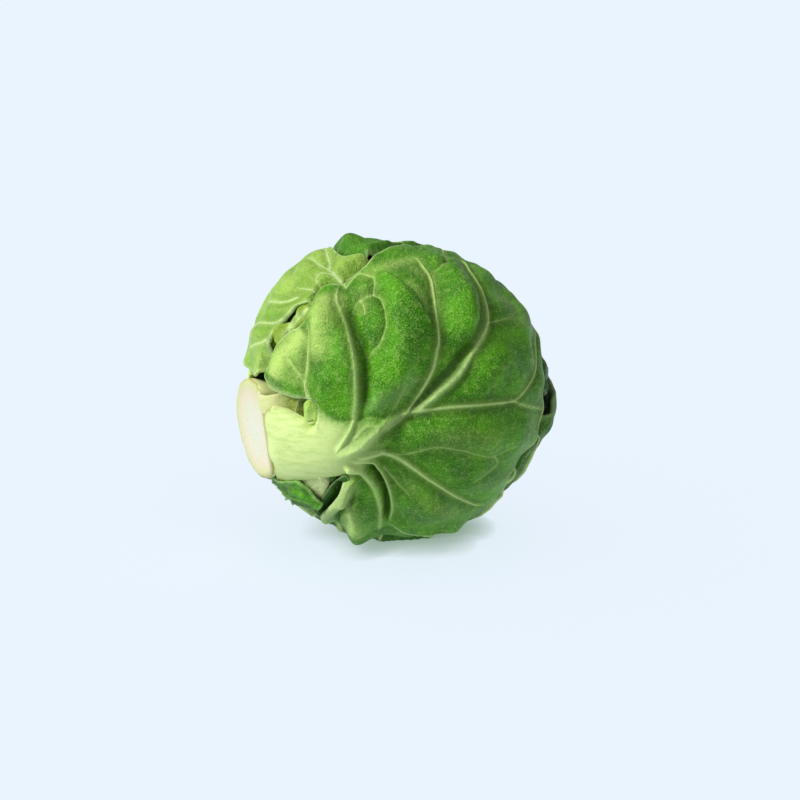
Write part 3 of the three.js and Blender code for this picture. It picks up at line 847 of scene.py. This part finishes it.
def add_stem():
    turns = np.arange(STEM_TURNS) * 2 * math.pi / STEM_TURNS
    seamed = ease((np.cos(turns) - 0.45) * 8)  # 1 along the seam, which has no rind
    face_shares = [0.0, 0.1, 0.2, 0.3, 0.4, 0.5, 0.6, 0.7, 0.78, 0.85, 0.9, 0.94, 0.97, 0.99, 1.0]
    side_shares = [0.02, 0.06, 0.12, 0.2, 0.3, 0.42, 0.56, 0.72, 0.88, 1.0]
    knife_dip, knife_marks, rounding, wobble = 0.25, 0.02, 0.3, 0.09  # millimetres
    points, faces, rinds = [], [], []
    random = np.random.default_rng(8)
    for ring, share in enumerate(face_shares + side_shares):
        on_face = ring < len(face_shares)
        if on_face:
            section = stem_section(turns, STEM_RADIUS, wobble) * share
            reach = STEM_REACH - knife_dip * (1 - share ** 2)
            reach = reach - rounding * ease((share - 0.9) * 10) ** 2 * (1 - seamed)
            reach = reach + random.normal(0, knife_marks, STEM_TURNS) * share * (share < 0.98)
        else:
            radius = STEM_RADIUS + (STEM_INNER_RADIUS - STEM_RADIUS) * share
            section = stem_section(turns, radius, wobble) + 0.1 * math.sin(math.pi * min(share * 8, 1))
            reach = STEM_REACH - rounding - (STEM_REACH - STEM_INNER_REACH) * share + 0 * turns
        out_a, out_b = section * np.cos(turns), section * np.sin(turns)
        forward = out_a * seam_side.dot(front_side) + out_b * seam_across.dot(front_side)
        reach = reach - KNIFE_LEAN * forward
        for a, b, along in zip(out_a, out_b, reach):
            place = seam_side * a + seam_across * b + stem_shift + cut_end * along
            points.append(HEAD_MIDDLE + place * MM)
        rinds.extend(share * (1 - 0.2 * seamed) if on_face else 1.0 + share + 0 * turns)
        if ring:
            start, before = ring * STEM_TURNS, (ring - 1) * STEM_TURNS
            for i in range(STEM_TURNS):
                j = (i + 1) % STEM_TURNS
                faces.append((before + i, start + i, start + j, before + j))
    faces.append(tuple(reversed(range(len(points) - STEM_TURNS, len(points)))))
    stem = add_mesh("stem", points, faces, stem_flesh())
    keep_on_points(stem.data, "rind", np.array(rinds))
    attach(stem, "root")
    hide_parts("stem")


PITH_PATCH = 2.22  # millimetres across a patch
PITH_FLECK = 0.385  # the cut ends of the fibres


def stem_flesh():
    """Cut pith: matt, cream, flecked where its fibres end, greener and moister towards the rind."""
    material = new_material("cut_pith")
    tree = material.node_tree
    rind = node(tree, "Attribute", attribute_name="rind").outputs["Fac"]
    place = node(tree, "TexCoord").outputs["Object"]
    patches = node(tree, "TexNoise", {
        "Vector": place, "Scale": 1 / (PITH_PATCH * MM), "Detail": 3.0,
    })
    flecks = node(tree, "TexNoise", {
        "Vector": place, "Scale": 1 / (PITH_FLECK * MM), "Detail": 2.0, "Roughness": 0.6,
    })
    uneven = node(tree, "Math", {0: patches, 1: 0.16, 2: -0.08}, operation="MULTIPLY_ADD")
    rind_here = node(tree, "Math", {0: rind, 1: uneven}, operation="ADD")
    from_middle = node(tree, "Math", {0: rind_here, 1: 2.0}, operation="DIVIDE")
    ramp = node(tree, "ValToRGB", {"Fac": from_middle})
    stops = [
        (0.0, "cfd1be"), (0.26, "cfceb4"), (0.36, "d2c8ac"), (0.43, "c6c896"), (0.485, "b4ba7c"),
        (0.499, "9c9455"), (0.515, "d2d694"), (0.62, "c8cc86"), (1.0, "8c9a48"),
    ]
    for index, (at, tint) in enumerate(stops):
        stop = ramp.color_ramp.elements[index] if index < 2 else ramp.color_ramp.elements.new(at)
        stop.position = at
        stop.color = linear(tint)
    fleck_share = node(tree, "MapRange", {
        "Value": flecks, "From Min": 0.6, "From Max": 0.72, "To Max": 0.5,
    })
    flecked = node(tree, "Mix", {
        0: fleck_share, 6: ramp, 7: linear("b9ab84"),
    }, data_type="RGBA")
    bump = node(tree, "Bump", {"Height": flecks, "Strength": 0.4, "Distance": 0.08 * MM})
    flesh = node(tree, "BsdfPrincipled", {
        "Base Color": flecked.outputs[2], "Roughness": 0.62, "IOR": 1.4, "Normal": bump,
        "Subsurface Weight": 0.3, "Subsurface Radius": (1.0, 0.9, 0.5), "Subsurface Scale": 1.0 * MM,
    })
    node(tree, "OutputMaterial", {"Surface": flesh})
    return material


add_stem()

# ---------------------------------------------------------------------------------------------------
# The upper left leaf.
# A younger, lighter leaf that wraps the head above the cut. Its lower margin hangs free beside the stem
# and its far side tucks under the front leaf.

covers = [(front_pattern, front_margin)]


def to_pattern(points, pattern, other):
    """Where points of one leaf's pattern fall in another's."""
    reach = np.maximum(np.hypot(points[:, 0], points[:, 1]), 1e-9)
    turn = reach / HEAD_RADIUS
    across = np.sin(turn) / reach
    facing = np.stack([across * points[:, 0], across * points[:, 1], np.cos(turn)], axis=1) @ pattern
    right, up, out = (facing @ row for row in other)
    flat = np.maximum(np.hypot(right, up), 1e-9)
    turn = np.arctan2(flat, out)
    return np.stack([right / flat * turn, up / flat * turn], axis=1) * HEAD_RADIUS


def bared(points, pattern, over, ease_out=2.0):
    """1 where a leaf lies bare, falling to 0 under the leaves over it."""
    share = np.ones(len(points))
    for other, margin in over:
        places = to_pattern(points, pattern, other)
        distance = from_edge(margin, places, 4)
        outside = np.where(inside(margin, places), -distance, distance)
        share = np.minimum(share, ease((outside + 0.4) / ease_out))
    return share


upper_left_pattern = pattern_frame(around_stem(262, 58), apex)
upper_left_margin = curve([
    (11.6, -2.2), (11, -3.2), (9.9, -4.6), (9.6, -6), (8.3, -7.3), (7.4, -8.6), (7.2, -9.8), (6.9, -10.9),
    (6.2, -12.2), (5.2, -13.4), (3.9, -13.9), (2.4, -14.1), (0.5, -13.2), (-3.2, -11.6), (-6, -9.8),
    (-9.5, -6.5), (-11.5, -1.5), (-10.5, 4.5), (-7.5, 5.5), (-4, 5.6), (0, 5.4), (2.6, 5.4), (5, 5.2),
    (7.6, 4.8), (9.7, 5.1), (10.8, 5.9), (11.6, 6.8), (13.2, 8), (15.5, 7.5), (16.5, 3), (16, 0),
    (14, -2.2),
], 0.28, closed=True)
upper_left_veins = [
    [(14.1, 0.7), (12.5, 1.1), (9.7, 1.8), (7, 2), (2.8, 2.6), (2.2, 1.5), (5.3, -0.9)],
    [(9.7, 1.8), (7.9, 3.1), (2.7, 5.6)],
    [(14.1, 0.7), (11.4, 1.2), (8.9, 1), (9.2, -0.3), (11.3, -1.2)],
    [(8.5, -3.7), (7.6, -4.5), (5.6, -4.9), (1.6, -4.3), (-2, -2)],
    [(8.3, -7.1), (6.4, -7.7), (3.4, -7.6), (-1.4, -7), (-5, -5)],
    [(6.7, -10.1), (4.5, -10.5), (1.6, -10.4), (-2, -9.8)],
    [(12.4, -2.5), (10.5, -2), (8.8, -2.1), (7.1, -2.5)],
]


def upper_left_shape(points):
    leaf = Relief(points, 17.9, 0.5)
    bare = bared(points, upper_left_pattern, covers, 0.8 + 1.6 * ease((points[:, 0] - 9) / 3))
    leaf.form += (2.5 - 1.0 * ease((points[:, 0] - 4) / 6)) * bare
    leaf.quilt += (0.6 + ripples(points, 11, 6.5, 0.2)) * bare
    leaf.puff(0, -13.5, 5, 4, 0, -1.4)
    leaf.puff(3, 2, 3, 2, 20, 0.6)
    leaf.puff(5.5, -2.5, 3, 1.6, 40, 0.4)
    for path in upper_left_veins:
        leaf.vein(path, (0.18, 0.12), (0.2, 0.12), hold=0.7, reach=0.8, tone=(0.65, 0.4))
    leaf.fold([(6.5, -11), (7, -9), (8.5, -6.8), (10.5, -4)], (0.6, 0.5), 0.25, ends=8)
    leaf.rim(upper_left_margin, 0.2, 0.6)
    return leaf


# A younger leaf holds less green, so it is yellower and paler.
light_skin = leaf_skin(
    "waxy_light_leaf", light="cfe292", mid="a0c452", deep="76a630", vein="dcecb4", edge="d8eaaa",
)
upper_left_leaf = add_leaf(
    "upper_left_leaf", upper_left_pattern, upper_left_margin, upper_left_shape, light_skin,
    paths=upper_left_veins, spacing=0.3,
)
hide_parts("upper_left_leaf")

# ---------------------------------------------------------------------------------------------------
# The torn leaf.
# The stub of a wrapper leaf that tore off below the front leaf's stalk. It is bruised dark, and its torn
# rim has curled and paled.

torn_margin = curve([
    (-24.6, -14.4), (-21.5, -14.9), (-18.1, -14.5), (-15.4, -13.8), (-13.9, -14.6), (-13, -15.6),
    (-11.8, -16.9), (-12.3, -18.2), (-13.7, -19), (-16.1, -19.9), (-18, -20.3), (-20.2, -21),
    (-21.2, -20.4), (-21.3, -19.6), (-22.5, -19.4), (-22.6, -18.4), (-24, -17.9), (-24, -16.7),
    (-25.2, -16), (-25, -15),
], 0.2, closed=True)


def torn_shape(points):
    leaf = Relief(points, 20.1, 0.45)
    leaf.quilt += ripples(points, 21, 2.6, 0.1)
    torn_vein = [(-22.5, -18), (-19.5, -18.4), (-16, -17.9), (-12.8, -17.3)]
    leaf.vein(torn_vein, (0.2, 0.12), (0.25, 0.2), tone=(0.4, 0.2))
    leaf.fold([(-21, -16.6), (-17.5, -15.8), (-14, -15.6)], (0.6, 0.6), -0.3, mark="light", strength=0.4)
    # Painted shade along its lower edge.
    leaf.stain("painted_shade", [(-20, -20), (-16.5, -19.3), (-13, -18)], (0.5, 0.5), 0.7)
    distance = leaf.rim(torn_margin, 0.22, 0.35)
    frill = bell(distance, 0.7) * ease((-16.5 - points[:, 0]) / 3)
    leaf.form += frill * (0.25 + ripples(points, 22, 1.6, 0.2))
    leaf.mark("edge", 0.8 * bell(distance, 0.7) * ease((-17 - points[:, 0]) / 3))
    return leaf


# Bruised leaf is soaked with its own sap, which deepens its green.
torn_skin = leaf_skin("bruised_torn_leaf", light="8ccc10", mid="4c9a02", deep="286800", edge="b9d48a")
torn_leaf = add_leaf(
    "torn_leaf", front_pattern, torn_margin, torn_shape, torn_skin, spacing=0.22,
)
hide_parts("torn_leaf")

# ---------------------------------------------------------------------------------------------------
# The small parts around the stalk.
# Below it are the pale foot of a lost leaf and the cupped hem of the front leaf. In the pocket above it
# are the axil, an olive hollow between stalk and stem, and the side bud that every leaf has there.

foot_margin = curve([
    (-19.5, -15.5), (-17.5, -14), (-14, -12.4), (-10.8, -11.6), (-10.3, -12.8), (-10.8, -14.2),
    (-11.9, -16.3), (-13.4, -18.7), (-14.5, -17.6), (-16.5, -16.5),
], 0.25, closed=True)


def foot_shape(points):
    leaf = Relief(points, 19.1, 0.9)
    leaf.puff(-14.5, -15.5, 4, 2.2, 230, 0.3)
    curl = [(-11.4, -12.2), (-11.2, -13.1), (-10.7, -13.8), (-10.4, -14.1)]
    leaf.fold(curl, (0.18, 0.18), 0.6, ends=12, mark="edge")
    # Painted shade beside the curled edge.
    leaf.stain("painted_shade", [(-10.6, -12), (-10.4, -12.8), (-10.2, -13.4)], (0.25, 0.25), 0.8)
    return leaf


# The foot of a leaf grew in the dark: pale, with hardly a net.
pale_foot_skin = leaf_skin("pale_leaf_foot", light="dfeab4", mid="cedc98", deep="b9cc84", net=0.03)
add_leaf("leaf_foot", front_pattern, foot_margin, foot_shape, pale_foot_skin, spacing=0.25)

cuff_margin = curve([
    (-7.4, -11.6), (-8.4, -12.3), (-9.8, -13.7), (-11.4, -16), (-13.3, -18.9), (-15.9, -24.2),
    (-15.2, -25), (-13, -22.5), (-10.3, -19.2), (-8, -15.8), (-6.7, -13),
], 0.25, closed=True)
cuff_hollow = [(-7.2, -12.7), (-8.6, -15.3), (-10.8, -18.4), (-14, -22.8)]


def cuff_shape(points):
    leaf = Relief(points, 19.6, 0.4)
    # Painted shade deepens along the hollow.
    leaf.fold(cuff_hollow, (1.3, 1.3), -1.2, ends=12, mark="painted_shade", strength=0.9)
    leaf.rim(cuff_margin, 0.12, 0.25)
    return leaf


# The hem's hollow side is smooth and green, and its dark skin is painted shade, for the shade it lies in.
cuff_skin = leaf_skin("shaded_cuff", light="5d9a22", mid="2f6a08", deep="1f4c04", net=0.05)
add_leaf("hem_cuff", front_pattern, cuff_margin, cuff_shape, cuff_skin, spacing=0.22)

axil_margin = curve([
    (-20.8, -1), (-19.2, -1), (-17.5, -0.7), (-16, -0.3), (-14, -0.2), (-12, 0), (-10.3, -2), (-10.8, -5),
    (-12.5, -5.8), (-15.5, -4.8), (-17.5, -4), (-19.5, -3.6), (-21, -3),
], 0.25, closed=True)


def axil_shape(points):
    leaf = Relief(points, 20.4, 0.6)
    leaf.form -= 2.9 * ease((points[:, 0] + 20.2) / 8.5)
    ridge = [(-14.3, -0.5), (-14.7, -1.8), (-15, -3), (-15.2, -4.2)]
    leaf.fold(ridge, (0.2, 0.2), 0.3, ends=9, mark="edge", strength=0.3)
    # Painted shade, deepening towards the dark hole beside the side bud.
    leaf.mark("painted_shade", 0.9 * ease((points[:, 0] + 15) / 2.2))
    leaf.mark("pale", 0.9 * ease((-15.5 - points[:, 0]) / 3.5))
    leaf.stain("painted_shade", [(-14, -1.4), (-13.8, -4)], (0.8, 0.7), 1.0)
    return leaf


# Moist flesh that never saw much light, gone olive in the air.
axil_skin = leaf_skin("olive_axil", light="c2c680", mid="8c9a3c", deep="6c7c28", pale="d6d69a", net=0.02)
add_leaf(
    "axil", front_pattern, axil_margin, axil_shape, axil_skin, spacing=0.22,
    cuts=[(cut_facing, STEM_REACH)],
)

bud_margin = curve([
    (-13.2, -1.9), (-12.3, -1.6), (-11.5, -2.4), (-11.3, -3.4), (-11.7, -4.4), (-12.4, -5.3),
    (-13.8, -5.9), (-14.3, -5.6), (-13.4, -4.6), (-13.2, -3.6), (-13.3, -2.7),
], 0.15, closed=True)


def bud_shape(points):
    leaf = Relief(points, 18.9, 1.2)
    leaf.puff(-12.4, -3, 1.5, 0.6, 80, 0.6)
    leaf.puff(-13, -5, 1.2, 0.5, 30, 0.5)
    scale_gap = [(-13.2, -4.2), (-12.4, -4.4), (-11.6, -4.2)]
    # Painted shade in the gap between two scales.
    leaf.fold(scale_gap, (0.15, 0.15), -0.3, ends=9, mark="painted_shade", strength=0.4)
    leaf.fold([(-14, -5.9), (-13.2, -5.6), (-12.2, -5.2), (-11.5, -4.7)], (0.14, 0.14), 0.3, ends=9)
    leaf.mark("pale", 0.7 * ease((-2.5 - points[:, 1]) / 2))
    return leaf


# New growth is tender and evenly yellow-green.
bud_skin = leaf_skin("side_bud", light="d2e69c", mid="a8cc62", deep="86b03e", net=0.02)
add_leaf("side_bud", front_pattern, bud_margin, bud_shape, bud_skin, spacing=0.15)

covers += [(front_pattern, margin) for margin in (torn_margin, foot_margin, cuff_margin, axil_margin)]

# ---------------------------------------------------------------------------------------------------
# The wrapper leaves underneath.
# Four broad leaves, each tucked under the ones outside it: one below, one over the crown, one in the gap
# above the stem and one behind. Each grew from the stem and rises to fill the place where it lies bare.

STEM_CLEARANCE = 19.6  # degrees from the stem's axis to a leaf's base


def spoon_outline(base, tip, half_width, neck):
    """A leaf's outline: a neck at the stem, its full width past the middle, and a round tip."""
    steps = 14
    left = []
    for step in range(steps):
        share = (1 - math.cos(math.pi * step / steps)) / 2
        body = half_width * math.sin(math.pi * share ** 0.85) ** (0.8 - 0.2 * share)
        left.append((-(neck * (1 - share) ** 3 + body), -base + (base + tip) * share))
    return left + [(0, tip)] + [(-a, b) for a, b in reversed(left)]


def feather_veins(base, tip, half_width, pairs):
    """A midrib with veins that leave it in turn on each side and bend towards the tip."""
    length = base + tip
    veins = [[(0.5 * math.sin(3 * s), -base + length * s) for s in (0, 0.2, 0.4, 0.6, 0.8, 0.95)]]
    for index in range(2 * pairs):
        side = 1 if index % 2 else -1
        share = 0.16 + 0.66 * index / (2 * pairs)
        start = -base + length * share
        spread = half_width * (0.55 + 0.4 * math.sin(math.pi * share))
        rise = length * (0.2 - 0.1 * share)
        veins.append([
            (0.5 * math.sin(3 * share), start), (side * spread * 0.3, start + rise * 0.25),
            (side * spread * 0.65, start + rise * 0.6), (side * spread, start + rise * 1.25),
        ])
    return veins


def add_wrapper_leaf(
        name, skin, around, from_cut, tip_from_cut, half_width, neck, face, rise, ease_out, seed,
        swells=()):
    """Adds a leaf. Its face is its radius where others cover it, and it gains rise where it lies bare."""
    per_degree = HEAD_RADIUS * math.radians(1)
    base, tip = (from_cut - STEM_CLEARANCE) * per_degree, (tip_from_cut - from_cut) * per_degree
    pattern = pattern_frame(around_stem(around, from_cut), apex)
    margin = curve(spoon_outline(base, tip, half_width, neck), 0.4, closed=True)
    random = np.random.default_rng(seed)
    waves = np.arange(len(margin)) * 2 * math.pi / len(margin)
    wave = sum(random.uniform(0.03, 0.1) * np.sin(k * waves + random.uniform(0, 6)) for k in (5, 8, 13))
    middle = np.array([0, (tip - base) / 2])
    margin = margin + (margin - middle) / np.linalg.norm(margin - middle, axis=1)[:, None] * wave[:, None]
    veins = feather_veins(base, tip, half_width, 5)
    over = list(covers)

    def shape(points):
        leaf = Relief(points, face, 0.5)
        bare = bared(points, pattern, over, ease_out)
        leaf.form += rise * bare
        leaf.quilt += (0.6 + ripples(points, seed, 5.0, 0.15)) * bare
        for swell in swells:
            leaf.puff(*swell)
        for index, path in enumerate(veins):
            size = 1.0 if index else 1.8
            leaf.vein(path, (0.4 * size, 0.15 * size), (0.4 * size, 0.15), hold=0.8, reach=1.1)
        along = (points[:, 1] + base) / (base + tip)
        leaf.mark("pale", ease((0.2 - along) * 6) * bell(points[:, 0], neck))
        leaf.rim(margin, 0.16, 0.3)
        return leaf

    made = add_leaf(name, pattern, margin, shape, skin, paths=veins, spacing=0.42)
    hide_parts(name)
    covers.append((pattern, margin))


# Old outer leaves are dark and bluish with bloom. Those that others shade are yellower.
under_skin = leaf_skin("waxy_under_leaf", light="7dae4c", mid="4a7f28", deep="346218", bloom_sheen="8cab7c")
crown_skin = leaf_skin("waxy_crown_leaf", light="86bc40", mid="4f901a", deep="386f10")
side_skin = leaf_skin("shaded_side_leaf", light="c0dc4a", mid="a4c634", deep="7da024", pale="b8d24a")
back_skin = leaf_skin("waxy_back_leaf", light="6d8f56", mid="4f7440", deep="3c5c2f", bloom_sheen="93ad88")
covers.append((upper_left_pattern, upper_left_margin))
add_wrapper_leaf(
    "under_leaf", under_skin, around=100, from_cut=85, tip_from_cut=177, half_width=23,
    neck=3.4, face=17.6, rise=1.8, ease_out=1.4, seed=31, swells=[
        (-10.3, 24, 4, 3, 90, 0.4), (-8, 12, 7, 4.5, 80, -2.4), (-6, 4, 4, 4, 0, -1.0),
        (-11.5, 16.5, 4, 3.5, 0, -1.2),
    ],
)
add_wrapper_leaf(
    "crown_leaf", crown_skin, around=230, from_cut=88, tip_from_cut=152, half_width=21,
    neck=2.6, face=17.2, rise=1.9, ease_out=1.4, seed=32, swells=[
        (15, -2, 3.6, 3.4, 0, 2.3), (15.5, 3, 3.4, 3, 0, -0.9),
    ],
)
add_wrapper_leaf(
    "side_leaf", side_skin, around=305, from_cut=80, tip_from_cut=160, half_width=17,
    neck=9, face=17.1, rise=1.3, ease_out=0.9, seed=33, swells=[
        (-2, -17.5, 3, 1.8, 95, 2.0), (-1.3, -13.5, 3, 1.7, 70, 2.4), (-0.2, -9.8, 3, 1.7, 70, 2.6),
    ],
)
add_wrapper_leaf(
    "back_leaf", back_skin, around=178, from_cut=95, tip_from_cut=215, half_width=24,
    neck=3, face=16.4, rise=2.2, ease_out=2.0, seed=34,
)

# ---------------------------------------------------------------------------------------------------
# The heart.
# Ten pale leaves in facing pairs around a tight bud, in the shapes that the frame gives them. All are hidden.

HEART_MOTTLE = 3.3  # millimetres across a patch


def heart_flesh(name, light, deep):
    """Young leaf that has never seen light: pale, moist and evenly soft, with faint mottling."""
    material = new_material(name)
    tree = material.node_tree
    place = node(tree, "TexCoord").outputs["Object"]
    mottle = node(tree, "TexNoise", {
        "Vector": place, "Scale": 1 / (HEART_MOTTLE * MM), "Detail": 4.0,
    })
    color = node(tree, "Mix", {0: mottle, 6: linear(deep), 7: linear(light)}, data_type="RGBA")
    bump = node(tree, "Bump", {"Height": mottle, "Strength": 0.3, "Distance": 0.2 * MM})
    flesh = node(tree, "BsdfPrincipled", {
        "Base Color": color.outputs[2], "Roughness": 0.5, "IOR": 1.4, "Normal": bump,
        "Subsurface Weight": 0.25, "Subsurface Radius": (0.8, 1.0, 0.4), "Subsurface Scale": 1.0 * MM,
    })
    node(tree, "OutputMaterial", {"Surface": flesh})
    return material


inner_flesh = heart_flesh("inner_leaf_flesh", "c8dc84", "96b84a")
bud_flesh = heart_flesh("heart_bud_flesh", "f0f0c4", "d8de94")
for name, part in frame["nodes"].items():
    if name.startswith("inner_leaf") or name == "heart_bud":
        part.data.materials.clear()
        part.data.materials.append(bud_flesh if name == "heart_bud" else inner_flesh)

for piece in bpy.context.scene.objects:
    if piece.type == "MESH" and piece is not floor:
        lit_by_window.objects.link(piece)
